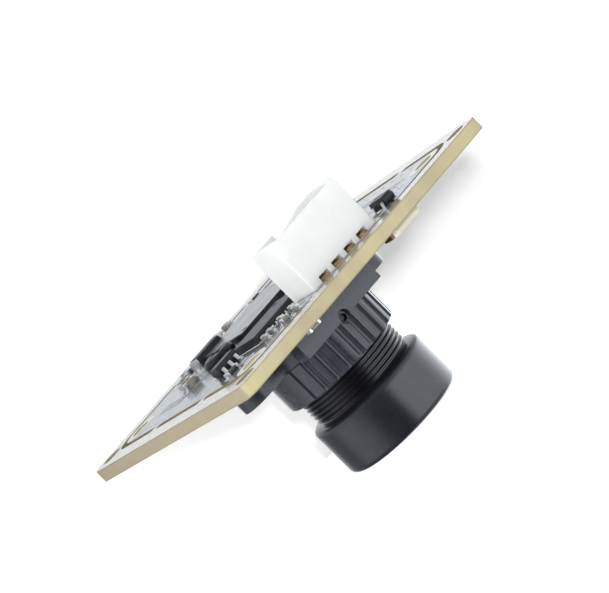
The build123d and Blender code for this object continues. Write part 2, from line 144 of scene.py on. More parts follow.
class MaterialBench:
    """Makes one material: its nodes come from one method and its maths from Signal."""

    def __init__(self, name: str) -> None:
        """Starts the material with its shader, its output and the place in millimetres.

        Args:
            name: the material's name.
        """
        self.material = bpy.data.materials.new(name)
        self.material.use_nodes = True
        self.tree = self.material.node_tree
        self.tree.nodes.clear()
        self.shader = self.node("ShaderNodeBsdfPrincipled", {}, {})
        self.output = self.node("ShaderNodeOutputMaterial", {}, {"Surface": self.shader.outputs[0]})
        place = self.node("ShaderNodeTexCoord", {}, {})
        scaled = self.node(
            "ShaderNodeVectorMath", {"operation": "SCALE"}, {0: place.outputs["Object"], "Scale": 1 / MM}
        )
        self.place = scaled.outputs["Vector"]

    @classmethod
    def for_tree(cls, tree: bpy.types.NodeTree) -> "MaterialBench":
        """Makes a bench for a tree that is no material's.

        Args:
            tree: the tree, which is emptied first.

        Returns:
            The bench.
        """
        bench = cls.__new__(cls)
        bench.tree = tree
        tree.nodes.clear()
        return bench

    def split(self, vector: bpy.types.NodeSocket) -> Tuple["Signal", "Signal", "Signal"]:
        """Returns a vector's three parts. Args: vector: the socket that carries it."""
        node = self.node("ShaderNodeSeparateXYZ", {}, {0: vector})
        return tuple(Signal(self, output) for output in node.outputs)

    def node(self, kind: str, settings: Dict[str, object], inputs: Dict[object, object]) -> bpy.types.Node:
        """Makes any node.

        Args:
            kind: the node's type name.
            settings: attributes set first; "stops" fills a colour ramp.
            inputs: values, sockets or signals by input name or number.

        Returns:
            The new node.
        """
        node = self.tree.nodes.new(kind)
        for key, value in settings.items():
            if key == "stops":
                self._fill_ramp(node.color_ramp, value)
            else:
                setattr(node, key, value)
        for key, value in inputs.items():
            self._feed(node.inputs[key], value)
        return node

    def _feed(self, socket: bpy.types.NodeSocket, value: object) -> None:
        """Links or sets one input.

        Args:
            socket: the input.
            value: a signal, a socket or a constant.
        """
        if isinstance(value, Signal):
            value = value.socket
        if isinstance(value, bpy.types.NodeSocket):
            self.tree.links.new(value, socket)
        else:
            socket.default_value = value

    @staticmethod
    def _fill_ramp(ramp: bpy.types.ColorRamp, stops: Sequence[Tuple[float, Colour]]) -> None:
        """Sets a ramp's stops.

        Args:
            ramp: the ramp.
            stops: places and colours, in order.
        """
        while len(ramp.elements) < len(stops):
            ramp.elements.new(0.5)
        for element, (place, colour) in zip(ramp.elements, stops):
            element.position = place
            element.color = solid_colour(colour)

    def math(self, operation: str, left: Value, right: Optional[Value] = None) -> Signal:
        """Adds one Math node.

        Args:
            operation: what it does.
            left: its first value.
            right: its second value, if it takes one.

        Returns:
            The result.
        """
        inputs: Dict[object, object] = {0: left}
        if right is not None:
            inputs[1] = right
        return Signal(self, self.node("ShaderNodeMath", {"operation": operation}, inputs).outputs[0])

    def axes(self) -> Tuple[Signal, Signal, Signal]:
        """Returns the place on the object along X, Y and Z in millimetres."""
        return self.split(self.place)

    def stretched(self, along: Tuple[float, float, float]) -> bpy.types.NodeSocket:
        """Returns the place with each axis multiplied. Args: along: the three factors."""
        node = self.node("ShaderNodeVectorMath", {"operation": "MULTIPLY"}, {0: self.place, 1: along})
        return node.outputs[0]

    def noise(
        self, scale: float, detail: float = 3.0, rough: float = 0.55, place: Optional[bpy.types.NodeSocket] = None
    ) -> Signal:
        """Makes cloudy noise.

        Args:
            scale: cells to the millimetre.
            detail: how many finer layers are added.
            rough: the strength of the finer layers.
            place: the coordinates, the object's own if left out.

        Returns:
            A signal about 0.5.
        """
        node = self.node(
            "ShaderNodeTexNoise",
            {},
            {"Vector": place or self.place, "Scale": scale, "Detail": detail, "Roughness": rough},
        )
        return Signal(self, node.outputs["Fac"])

    def cells(self, scale: float) -> Signal:
        """Returns the distance to the nearest of scattered points. Args: scale: points to the millimetre."""
        node = self.node("ShaderNodeTexVoronoi", {}, {"Vector": self.place, "Scale": scale})
        return Signal(self, node.outputs["Distance"])

    def mixed(self, factor: Value, first: object, second: object) -> bpy.types.NodeSocket:
        """Mixes two colours.

        Args:
            factor: 0 gives the first and 1 the second.
            first: a colour or a socket.
            second: a colour or a socket.

        Returns:
            The mixed colour.
        """
        first = solid_colour(first) if isinstance(first, tuple) else first
        second = solid_colour(second) if isinstance(second, tuple) else second
        node = self.node("ShaderNodeMix", {"data_type": "RGBA"}, {0: factor, 6: first, 7: second})
        return node.outputs[2]

    def bump(self, height: Signal, depth: float) -> bpy.types.NodeSocket:
        """Returns a bumped normal. Args: height: the relief. depth: its size in millimetres."""
        inputs = {"Height": height, "Distance": depth * MM, "Strength": 1.0}
        return self.node("ShaderNodeBump", {}, inputs).outputs["Normal"]

    def finish(self, **inputs: object) -> bpy.types.Material:
        """Puts values into the shader.

        Args:
            inputs: a value for each socket, by its name with _ for spaces.

        Returns:
            The material.
        """
        for key, value in inputs.items():
            self._feed(self.shader.inputs[key.replace("_", " ")], value)
        return self.material


@dataclass(frozen=True)
class MouldedFinish:
    """A moulded plastic or resin: a mottled colour with a fine skin."""

    name: str
    colour: Colour
    shade: Colour
    roughness: float = 0.45
    mottle_scale: float = 0.6
    grain_scale: float = 14.0
    grain_depth: float = 0.004
    speck: float = 0.0
    coat: float = 0.0
    glow: float = 0.0

    def build(self) -> bpy.types.Material:
        """Mottles the colour, adds light flecks if asked, and lays a fine grain over all.

        Returns:
            The material.
        """
        bench = MaterialBench(self.name)
        cloud = bench.noise(self.mottle_scale, 4.0).rise(0.3, 0.7)
        grain = bench.noise(self.grain_scale, 5.0, 0.62)
        colour = bench.mixed(cloud, self.shade, self.colour)
        if self.speck:
            flecks = 1.0 - bench.cells(self.grain_scale * 0.7).rise(0.05, 0.22)
            light = tuple(min(1.0, part * 2.2 + 0.05) for part in self.colour)
            colour = bench.mixed(flecks * self.speck, colour, light)
        skin = grain + bench.noise(self.mottle_scale * 4, 2.0) * 0.6
        return bench.finish(
            Base_Color=colour,
            Roughness=self.roughness + (grain - 0.5) * 0.16 + (cloud - 0.5) * 0.05,
            Normal=bench.bump(skin, self.grain_depth),
            Coat_Weight=self.coat,
            Coat_Roughness=0.2,
            Subsurface_Weight=self.glow,
            Subsurface_Scale=1.2 * MM,
            Subsurface_Radius=(1.0, 1.0, 1.0),
        )


@dataclass(frozen=True)
class MetalFinish:
    """A bright or plated metal with uneven polish."""

    name: str
    colour: Colour
    dull: Colour
    roughness: float = 0.28
    cloud_scale: float = 1.6
    grain_scale: float = 16.0
    grain_depth: float = 0.006

    def build(self) -> bpy.types.Material:
        """Clouds the colour and the polish together, with a fine grain in both.

        Returns:
            The material.
        """
        bench = MaterialBench(self.name)
        cloud = bench.noise(self.cloud_scale, 4.0).rise(0.25, 0.75)
        grain = bench.noise(self.grain_scale, 4.0)
        return bench.finish(
            Base_Color=bench.mixed(cloud, self.dull, self.colour),
            Metallic=1.0,
            Roughness=self.roughness + (grain - 0.5) * 0.2 + (1.0 - cloud) * 0.12,
            Normal=bench.bump(grain + cloud * 0.7, self.grain_depth),
        )


@dataclass(frozen=True)
class AnodisedFinish:
    """Black anodised metal as turned: fine blasted grain over faint turning rings."""

    name: str
    colour: Colour
    shade: Colour
    roughness: float
    ring_pitch: float
    grain_depth: float
    # Painted shade: from this height on the metal takes the dark colour below, for the shade in the thread's grooves.
    painted_shade_from: float = 1000.0
    dark: Colour = (0.006, 0.006, 0.008)

    def build(self) -> bpy.types.Material:
        """Lays turning rings, a sine of the height over the tool's feed, under grain and glints; the glints are a
        painted highlight, light specks mixed into the colour, and also a bump.

        Past the given height, where the thread begins, the metal is plain and darker: painted shade for the thread's
        shaded grooves.

        Returns:
            The material.
        """
        bench = MaterialBench(self.name)
        _, _, z = bench.axes()
        grain = bench.noise(22.0, 4.0, 0.7)
        cloud = bench.noise(0.5, 3.0).rise(0.3, 0.7)
        rings = (z * (math.tau / self.ring_pitch) + bench.noise(1.5, 2.0) * 1.5).wave()
        # Painted highlight: scattered light specks in the colour stand in for glints of light on the grain.
        glint = 1.0 - bench.cells(11.0).rise(0.04, 0.2)
        colour = bench.mixed(cloud, self.shade, self.colour)
        light = tuple(part * 1.8 + 0.01 for part in self.colour)
        colour = bench.mixed(glint * 0.3, colour, light)
        # Painted shade: past this height the thread is darker for the shade in its grooves, and its rings are left
        # off.
        behind = z.rise(self.painted_shade_from, self.painted_shade_from + 0.05)
        rings = rings * (1.0 - behind)
        return bench.finish(
            Base_Color=bench.mixed(behind, colour, self.dark),
            Metallic=0.0,
            Roughness=self.roughness + (grain - 0.5) * 0.22,
            Specular_IOR_Level=0.62,
            Normal=bench.bump(grain + rings * 0.1 + glint * 0.25, self.grain_depth),
        )


@dataclass(frozen=True)
class GlassFinish:
    """Clear glass with a thin tinted coating."""

    name: str
    tint: Colour
    coating: Colour
    roughness: float = 0.015

    def build(self) -> bpy.types.Material:
        """Smudges the glass with faint noise in its tint and roughness.

        Returns:
            The material.
        """
        bench = MaterialBench(self.name)
        smudge = bench.noise(0.7, 3.0).rise(0.45, 0.8)
        return bench.finish(
            Base_Color=bench.mixed(smudge * 0.3, self.tint, self.coating),
            Roughness=self.roughness + smudge * 0.02,
            IOR=1.52,
            Transmission_Weight=1.0,
            Specular_Tint=solid_colour(self.coating),
        )


@dataclass(frozen=True)
class BoardFinish:
    """The board: dark mask inside the milled line, paler rim, glass laminate at the edges."""

    name: str
    top: float
    under: float
    half: float
    line: float
    mask: Colour = (0.085, 0.093, 0.103)
    mask_light: Colour = (0.14, 0.15, 0.155)
    rim: Colour = (0.44, 0.43, 0.39)
    laminate: Colour = (0.50, 0.44, 0.285)
    laminate_light: Colour = (0.61, 0.55, 0.32)
    laminate_dark: Colour = (0.25, 0.19, 0.12)
    # Painted light: the corners' lighter tone stands in for light glowing through the laminate.
    lit_corner: Colour = (0.58, 0.54, 0.30)
    # Painted shade: the tone that the sides in shade are taken to, and below it, how far each side is taken.
    shaded_side: Colour = (0.31, 0.27, 0.19)
    front_shading: float = 0.3
    left_shading: float = 0.85
    corner_shading: float = 0.3
    corner_light: float = 0.85
    ply: float = 0.19
    relief: float = 0.012

    def near_side(self, distance: Signal, start: float, end: float) -> Signal:
        """Returns 1 where a distance from the middle nears the edge. Args: start, end: how far inside it."""
        return distance.rise(self.half - start, self.half - end)

    def laminate_colour(self, bench: MaterialBench) -> bpy.types.NodeSocket:
        """Colours the bare laminate.

        It is blotched, and painted light makes it lighter towards the corners, where light glows through the
        laminate. Painted shade darkens the side to -Y over its -X half, the side to -X and the corner between the
        two.

        Args:
            bench: the material being made.

        Returns:
            The colour.
        """
        x, y, _ = bench.axes()
        blotch = bench.noise(0.32, 3.0, 0.5, bench.stretched((1.0, 1.0, 0.3))).rise(0.3, 0.72)
        colour = bench.mixed(blotch, self.laminate, self.laminate_light)
        # Painted shade: the -Y side over its -X half, the -X side and the corner between the two are darkened for the
        # shade they lie in.
        front = self.near_side(y * -1.0, 0.3, 0.1) * (1.0 - x.rise(-14.0, 10.0))
        # Painted light: lighter towards the corners, for light glowing through the laminate.
        corners = x.size().least(y.size()).rise(self.half * 0.65, self.half)
        left = self.near_side(x * -1.0, 0.3, 0.1)
        corner = self.near_side((x * -1.0).least(y * -1.0), 1.3, 0.6)
        for share, tone in (
            (front * self.front_shading, self.shaded_side),
            (corners * self.corner_light, self.lit_corner),
            (left * self.left_shading, self.shaded_side),
            (corner * self.corner_shading, self.shaded_side),
        ):
            colour = bench.mixed(share, colour, tone)
        return colour

    def build(self) -> bpy.types.Material:
        """Tells the board's faces, rim and edges apart by where they lie, and colours each.

        A place counts as a face where its height is within a hundredth of a millimetre of the board's top or
        underside, and as rim where the larger of its two distances from the middle lines is past the milled line. The
        edge darkens towards both faces and between the plies, and painted shade darkens the slot walls in the milled
        line, which lie in shade.

        Returns:
            The material.
        """
        bench = MaterialBench(self.name)
        x, y, z = bench.axes()
        height = (z - (self.top + self.under) / 2).size()
        half_thick = (self.top - self.under) / 2
        face = height.rise(half_thick - 0.02, half_thick - 0.004)
        rind = height.rise(half_thick - 0.2, half_thick - 0.04)
        reach = x.size().most(y.size())
        rim = reach.rise(self.line - 0.02, self.line + 0.02)
        # Painted shade: the slot walls in the milled line are darkened for the shade inside the slot.
        milled = reach.rise(self.line - 1.0, self.line - 0.8) * (1.0 - self.near_side(reach, 0.8, 0.4))
        pour = bench.noise(0.25, 2.0).rise(0.4, 0.56)
        cloud = bench.noise(0.18, 3.0).rise(0.3, 0.7)
        mask = bench.mixed(pour * 0.3 + cloud * 0.3, self.mask, self.mask_light)
        rim_colour = bench.mixed(cloud * 0.4, self.rim, self.laminate_light)
        surface = bench.mixed(rim, mask, rim_colour)
        weave = bench.noise(2.0, 4.0, 0.6, bench.stretched((0.35, 0.35, 7.0)))
        plies = ((z - self.under) * (math.tau / self.ply) + weave * 2.5).wave() * 0.5 + 0.5
        dark = (rind * 0.5 + (1.0 - plies) * 0.06).most(milled * 0.85)
        edge = bench.mixed(dark, self.laminate_colour(bench), self.laminate_dark)
        skin = bench.noise(3.0, 3.0, 0.5)
        fibre = weave * 0.6 + plies * 0.5
        return bench.finish(
            Base_Color=bench.mixed(face, edge, surface),
            Roughness=0.62 - face * 0.38 + (skin - 0.5) * 0.1,
            Normal=bench.bump(skin * face * 0.05 + fibre * (1.0 - face), self.relief),
            Coat_Weight=face * 0.6,
            Coat_Roughness=0.08,
        )


FINISHES = (
    MouldedFinish("holder_moulding", (0.044, 0.048, 0.060), (0.033, 0.036, 0.045), 0.26, 0.5, 12.0, 0.004),
    MouldedFinish("white_nylon", (0.84, 0.86, 0.86), (0.80, 0.82, 0.82), 0.36, 0.35, 8.0, 0.002, glow=0.4),
    MouldedFinish("chip_epoxy", (0.020, 0.020, 0.022), (0.012, 0.012, 0.014), 0.42, 0.9, 18.0, 0.006, 0.2),
    MouldedFinish("chip_polished", (0.026, 0.027, 0.028), (0.018, 0.019, 0.020), 0.2, 0.4, 10.0, 0.002),
    MouldedFinish("cream_moulding", (0.80, 0.76, 0.62), (0.70, 0.65, 0.50), 0.4, 0.8, 14.0, 0.004),
    MouldedFinish("tan_ceramic", (0.34, 0.31, 0.27), (0.22, 0.20, 0.17), 0.45, 2.0, 20.0, 0.006, 0.2),
    MouldedFinish("glazed_black", (0.02, 0.02, 0.022), (0.03, 0.03, 0.034), 0.22, 1.5, 16.0, 0.002, coat=0.6),
    MouldedFinish("fired_ceramic", (0.34, 0.33, 0.31), (0.24, 0.23, 0.22), 0.6, 1.2, 18.0, 0.006),
    MouldedFinish("ink_white", (0.84, 0.85, 0.84), (0.72, 0.73, 0.72), 0.5, 2.5, 24.0, 0.004),
    MouldedFinish("covered_copper", (0.19, 0.20, 0.21), (0.14, 0.15, 0.16), 0.22, 0.8, 10.0, 0.002, coat=0.6),
    MetalFinish("tinned_metal", (0.90, 0.90, 0.89), (0.70, 0.70, 0.69), 0.3),
    MetalFinish("solder", (0.80, 0.80, 0.79), (0.55, 0.55, 0.55), 0.2, 2.2, 10.0, 0.01),
    MetalFinish("gilt_pad", (0.95, 0.93, 0.80), (0.88, 0.84, 0.66), 0.32, 1.2, 12.0, 0.004),
    MetalFinish("brass_pin", (0.58, 0.42, 0.20), (0.30, 0.20, 0.10), 0.38, 1.6, 14.0, 0.006),
    MetalFinish("dark_copper", (0.34, 0.20, 0.12), (0.16, 0.09, 0.06), 0.45, 1.6, 14.0, 0.01),
    MetalFinish("black_steel", (0.07, 0.07, 0.075), (0.03, 0.03, 0.032), 0.36, 1.2, 14.0, 0.01),
    # The head's 5.66 is the height where the thread's painted shade begins.
    AnodisedFinish("head_anodised", (0.017, 0.020, 0.026), (0.013, 0.015, 0.020), 0.26, 0.09, 0.003, 5.66),
    AnodisedFinish("inner_black", (0.010, 0.010, 0.011), (0.006, 0.006, 0.007), 0.6, 0.2, 0.004),
    GlassFinish("coated_glass", (0.95, 0.97, 1.0), (0.72, 0.62, 0.95)),
    GlassFinish("filter_glass", (0.62, 0.86, 0.90), (0.85, 0.45, 0.50)),
    GlassFinish("cover_glass", (0.97, 0.99, 0.99), (0.9, 0.9, 0.9)),
)


class Palette:
    """Every finish of the object, each made once and kept by name."""

    def __init__(self, recipes: Sequence[object]) -> None:
        """Args: recipes: the finishes. A material is made when it is first asked for."""
        self.made: Dict[str, bpy.types.Material] = {}
        self.recipes = {recipe.name: recipe for recipe in recipes}

    def add(self, recipe: object) -> None:
        """Adds a finish that is worked out from the frame. Args: recipe: the finish."""
        self.recipes[recipe.name] = recipe

    def get(self, name: str) -> bpy.types.Material:
        """Makes a material at its first use and keeps it.

        Args:
            name: the finish's name.

        Returns:
            The material.
        """
        if name not in self.made:
            self.made[name] = self.recipes[name].build()
        return self.made[name]


PALETTE = Palette(FINISHES)


def node_box(node: str) -> Box:
    """Returns a node's lowest and highest corners in millimetres. Args: node: its name."""
    low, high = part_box(node)
    return np.array(low) / MM, np.array(high) / MM


def solids_of(node: str) -> List[Box]:
    """Finds the separate solids of a node.

    Points at one place count as one. Each point takes the lowest number among its neighbours
    until nothing changes, so the points of a solid end with one number.

    Args:
        node: the node's name.

    Returns:
        The lowest and highest corner of each solid in millimetres.
    """
    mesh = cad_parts[node].data
    places = np.empty(len(mesh.vertices) * 3)
    mesh.vertices.foreach_get("co", places)
    places = places.reshape(-1, 3) / MM
    _, same = np.unique(np.round(places, 4), axis=0, return_inverse=True)
    same = same.reshape(-1)
    edges = np.empty(len(mesh.edges) * 2, dtype=np.int64)
    mesh.edges.foreach_get("vertices", edges)
    pairs = same[edges].reshape(-1, 2)
    label = np.arange(same.max() + 1)
    while True:
        lowest = label.copy()
        low = np.minimum(label[pairs[:, 0]], label[pairs[:, 1]])
        np.minimum.at(lowest, pairs[:, 0], low)
        np.minimum.at(lowest, pairs[:, 1], low)
        lowest = lowest[lowest]
        if np.array_equal(lowest, label):
            break
        label = lowest
    owner = label[same]
    return [(places[owner == key].min(0), places[owner == key].max(0)) for key in np.unique(owner)]


@dataclass
class Grid:
    """A surface on a grid of points, in millimetres, closed along either way if asked."""

    points: np.ndarray
    wrap_rows: bool = False
    wrap_columns: bool = False

    def faces(self, start: int) -> np.ndarray:
        """Numbers the corners of each cell: a point's number is its row times the columns plus its column.

        Args:
            start: the first point's number.

        Returns:
            Rows of four numbers.
        """
        rows, columns = self.points.shape[:2]
        row = np.arange(rows if self.wrap_rows else rows - 1)
        column = np.arange(columns if self.wrap_columns else columns - 1)
        r, c = np.meshgrid(row, column, indexing="ij")
        r_next = (r + 1) % rows
        c_next = (c + 1) % columns
        corners = [r * columns + c, r_next * columns + c, r_next * columns + c_next, r * columns + c_next]
        return np.stack(corners, axis=-1).reshape(-1, 4) + start


def make_piece(
    name: str, grids: Sequence[Grid], finish: str, body: str = ROOT, smooth: float = SMOOTH_ANGLE
) -> bpy.types.Object:
    """Joins grids into one finished piece.

    Points at one place are merged, which closes seams and poles, and the faces are turned
    outwards.

    Args:
        name: the piece's name.
        grids: its surfaces.
        finish: the material's name.
        body: the body that it rides on.
        smooth: edges flatter than this angle are shaded smooth.

    Returns:
        The new object.
    """
    points = np.concatenate([grid.points.reshape(-1, 3) for grid in grids]) * MM
    starts = np.cumsum([0] + [grid.points.shape[0] * grid.points.shape[1] for grid in grids])
    faces = np.concatenate([grid.faces(start) for grid, start in zip(grids, starts)])
    mesh = bpy.data.meshes.new(name)
    mesh.from_pydata(points.tolist(), [], faces.tolist())
    shape = bmesh.new()
    shape.from_mesh(mesh)
    bmesh.ops.remove_doubles(shape, verts=shape.verts, dist=SEAM)
    bmesh.ops.dissolve_degenerate(shape, edges=shape.edges, dist=SLIVER)
    bmesh.ops.recalc_face_normals(shape, faces=shape.faces)
    shape.to_mesh(mesh)
    shape.free()
    return finish_piece(name, mesh, finish, body, smooth)


def finish_piece(
    name: str, mesh: bpy.types.Mesh, finish: str, body: str, smooth: float
) -> bpy.types.Object:
    """Makes a finished piece of a mesh.

    Args:
        name: the piece's name.
        mesh: its mesh.
        finish: the material's name.
        body: the body that it rides on.
        smooth: edges flatter than this angle are shaded smooth.

    Returns:
        The new object.
    """
    mesh.shade_smooth()
    mesh.set_sharp_from_angle(angle=smooth)
    mesh.materials.clear()
    mesh.materials.append(PALETTE.get(finish))
    piece = bpy.data.objects.new(name, mesh)
    bpy.context.scene.collection.objects.link(piece)
    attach(piece, body)
    LOG.info("%s: %d faces, %s", name, len(mesh.polygons), finish)
    return piece


def merged_copy(node: str, flat: bool) -> bpy.types.Mesh:
    """Copies a CAD node's mesh with its points merged.

    Args:
        node: the CAD node.
        flat: whether triangles that lie in one plane become one face.

    Returns:
        The copy.
    """
    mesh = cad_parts[node].data.copy()
    shape = bmesh.new()
    shape.from_mesh(mesh)
    bmesh.ops.remove_doubles(shape, verts=shape.verts, dist=CAD_SEAM)
    if flat:
        bmesh.ops.dissolve_limit(
            shape, angle_limit=FLAT_ANGLE, verts=shape.verts, edges=shape.edges, use_dissolve_boundaries=False
        )
    shape.to_mesh(mesh)
    shape.free()
    return mesh


def softened(node: str, name: str, finish: str, slot: str, width: float, segments: int = 2) -> bpy.types.Object:
    """Copies a CAD node of the main body with its edges rounded, and hides the node.

    Args:
        node: the CAD node.
        name: the new piece's name.
        finish: the material's name.
        slot: the record's material slot; not used.
        width: the rounding in millimetres.
        segments: faces across each rounding.

    Returns:
        The new object.
    """
    mesh = merged_copy(node, flat=True)
    mesh.name = name
    piece = finish_piece(name, mesh, finish, ROOT, EDGE_ANGLE)
    edge = piece.modifiers.new("edge_rounding", "BEVEL")
    edge.width = width * MM
    edge.segments = segments
    edge.limit_method = "ANGLE"
    edge.angle_limit = EDGE_ANGLE
    edge.use_clamp_overlap = True
    edge.miter_outer = "MITER_ARC"
    shading = piece.modifiers.new("even_shading", "WEIGHTED_NORMAL")
    shading.keep_sharp = False
    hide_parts(node)
    return piece


def dress(node: str, finish: str) -> None:
    """Gives a CAD node a finish.

    Args:
        node: its name.
        finish: the material's name.
    """
    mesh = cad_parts[node].data
    mesh.materials.clear()
    mesh.materials.append(PALETTE.get(finish))
    LOG.info("%s: dressed in %s", node, finish)


def turned(profile: np.ndarray, segments: int, centre: Tuple[float, float] = (0.0, 0.0)) -> Grid:
    """Turns a profile about an upright axis.

    Each point goes round a circle: x is the radius times the cosine of the angle, y is the
    radius times its sine, and z is the height.

    Args:
        profile: rows of radius and height.
        segments: points round the circle.
        centre: the axis's x and y.

    Returns:
        The surface.
    """
    angle = np.linspace(0, math.tau, segments, endpoint=False)
    radius = profile[:, 0:1]
    x = centre[0] + radius * np.cos(angle)
    y = centre[1] + radius * np.sin(angle)
    z = np.repeat(profile[:, 1:2], segments, axis=1)
    return Grid(np.stack([x, y, z], axis=-1), wrap_columns=True)


def arc(centre: Tuple[float, float], radius: float, start: float, end: float, count: int) -> np.ndarray:
    """Returns points at even angles round a circle's arc. Args: start, end: in degrees. count: how many."""
    angle = np.radians(np.linspace(start, end, count))
    return np.stack([centre[0] + radius * np.cos(angle), centre[1] + radius * np.sin(angle)], axis=-1)


def side_steps(path: np.ndarray, closed: bool = False) -> np.ndarray:
    """Finds the sideways step of one unit at each point of a path.

    It is the mean of the two runs' left-hand normals, made longer at a bend so that a line
    beside the path keeps its distance.

    Args:
        path: rows of x and y.
        closed: whether the path returns to its start.

    Returns:
        Rows of x and y.
    """
    run = np.diff(np.vstack([path, path[:1]]) if closed else path, axis=0)
    run = run / np.linalg.norm(run, axis=1, keepdims=True)
    left = np.stack([-run[:, 1], run[:, 0]], axis=-1)
    before = np.roll(left, 1, axis=0) if closed else np.vstack([left[:1], left])
    after = left if closed else np.vstack([left, left[-1:]])
    side = before + after
    return side / np.sum(side * before, axis=1, keepdims=True)


def strip(path: np.ndarray, width: float, low: float, high: float, closed: bool = False) -> Grid:
    """Lays a flat strip with sloped sides along a path.

    The section is a low trapezium carried along the path by its sideways steps.

    Args:
        path: rows of x and y.
        width: the strip's width.
        low: the height that it lies on.
        high: the height of its top.
        closed: whether the path returns to its start.

    Returns:
        The surface.
    """
    side = side_steps(path, closed)
    bank = (high - low) * BANK
    offsets = [-width / 2, -width / 2 + bank, width / 2 - bank, width / 2]
    heights = [low, high, high, low]
    rows = [
        np.column_stack([path + side * offset, np.full(len(path), height)])
        for offset, height in zip(offsets, heights)
    ]
    points = np.stack(rows, axis=1)
    if not closed:
        middle = points.mean(axis=1, keepdims=True)
        first, last = (np.repeat(end, 4, axis=1) for end in (middle[:1], middle[-1:]))
        points = np.concatenate([first, points, last])
    return Grid(points, wrap_rows=closed, wrap_columns=True)


def cushion(low: np.ndarray, high: np.ndarray, corner: float, bow: float) -> Grid:
    """A thin pad with rounded corners and a softly domed top.

    The outline is a superellipse between the two corners. The rings shrink towards the middle,
    where the dome is highest, and it falls by the square of the distance from there.

    Args:
        low: the lowest corner.
        high: the highest corner.
        corner: the power of the outline, 2 for an ellipse and more for a squarer one.
        bow: the share of the height that the dome takes.

    Returns:
        The surface.
    """
    angle = np.linspace(0, math.tau, CUSHION_POINTS, endpoint=False)
    circle = np.stack([np.cos(angle), np.sin(angle)], axis=-1)
    rim = np.sign(circle) * np.abs(circle) ** (2 / corner) * (high - low)[:2] / 2
    height = high[2] - low[2]
    rings = [(0.0, 0.0), (1.0, 0.0), (1.0, height * (1 - bow))]
    rings += [(share, height * (1 - bow * share**2)) for share in DOME_SHARES]
    rows = [
        np.column_stack([(low + high)[:2] / 2 + rim * share, np.full(CUSHION_POINTS, low[2] + rise)])
        for share, rise in rings
    ]
    return Grid(np.stack(rows), wrap_columns=True)


def fillet(base: np.ndarray, out: np.ndarray, size: Tuple[float, float, float], level: float, sign: float) -> Grid:
    """A hollow solder fillet against an upright metal face.

    Its section runs down the face, out along the pad and back in a quarter ellipse that is
    hollow. Across the width the section shrinks to nothing at both ends as a rounded bump does.

    Args:
        base: the middle of the face's foot, x and y.
        out: the direction away from the face, a unit vector.
        size: the width along the face, how far it runs out and how high it climbs.
        level: the height of the surface that it lies on.
        sign: 1 for solder on top and -1 for solder underneath.

    Returns:
        The surface.
    """
    width, reach, height = size
    turn = np.radians(np.linspace(90, 0, FILLET_STEPS))
    hollow = np.stack([reach * (1 - np.sin(turn)), height * (1 - np.cos(turn))], axis=-1)
    section = np.vstack([hollow, [[0.0, 0.0]]])
    across = np.linspace(-1, 1, FILLET_STEPS + 1)
    scale = np.sqrt(np.clip(1 - across**4, 0, 1))
    side = np.array([-out[1], out[0]])
    place = base + across[:, None] * side * width / 2
    xy = place[:, None, :] + (scale[:, None] * section[None, :, 0])[..., None] * out
    z = level + sign * scale[:, None] * section[None, :, 1]
    return Grid(np.concatenate([xy, z[..., None]], axis=-1), wrap_columns=True)


# Each bus: how many lines, their spacing, and the corners of the middle line.
BUSES = (
    (4, 0.4, ((-2.0, -3.0), (-2.0, -6.2), (0.8, -9.0), (0.8, -10.6))),
    (5, 0.38, ((3.6, 0.4), (6.2, 0.4), (8.4, -1.8), (8.4, -9.4), (6.0, -11.8))),
    (6, 0.38, ((3.6, 4.0), (5.6, 4.0), (8.8, 7.2), (8.8, 11.4))),
    (3, 0.4, ((-3.4, -3.0), (-3.4, -4.2), (-5.0, -4.6))),
    (4, 0.4, ((-7.0, 2.4), (-9.6, 2.4), (-12.6, 5.4), (-12.6, 10.6))),
    (3, 0.4, ((-7.0, -0.6), (-9.4, -0.6), (-12.4, -3.6))),
    (4, 0.4, ((0.6, 7.9), (0.6, 10.2), (4.2, 13.8), (9.2, 13.8))),
    (3, 0.5, ((10.8, -12.8), (12.6, -11.0), (12.6, 3.0), (10.4, 5.2))),
    (4, 0.38, ((4.2, -5.0), (6.0, -6.8), (6.0, -9.6))),
    (3, 0.5, ((-12.6, -11.4), (-12.6, -9.8))),
)
# Each printed outline: the part, the gap round it, and what its ends add along X.
OUTLINES = (
    ("processor_chip", 0.35, 0.0),
    ("memory_chip", 0.35, 0.0),
    ("socket_housing", 0.3, 0.0),
    ("diode_body", 0.25, 0.5),
)


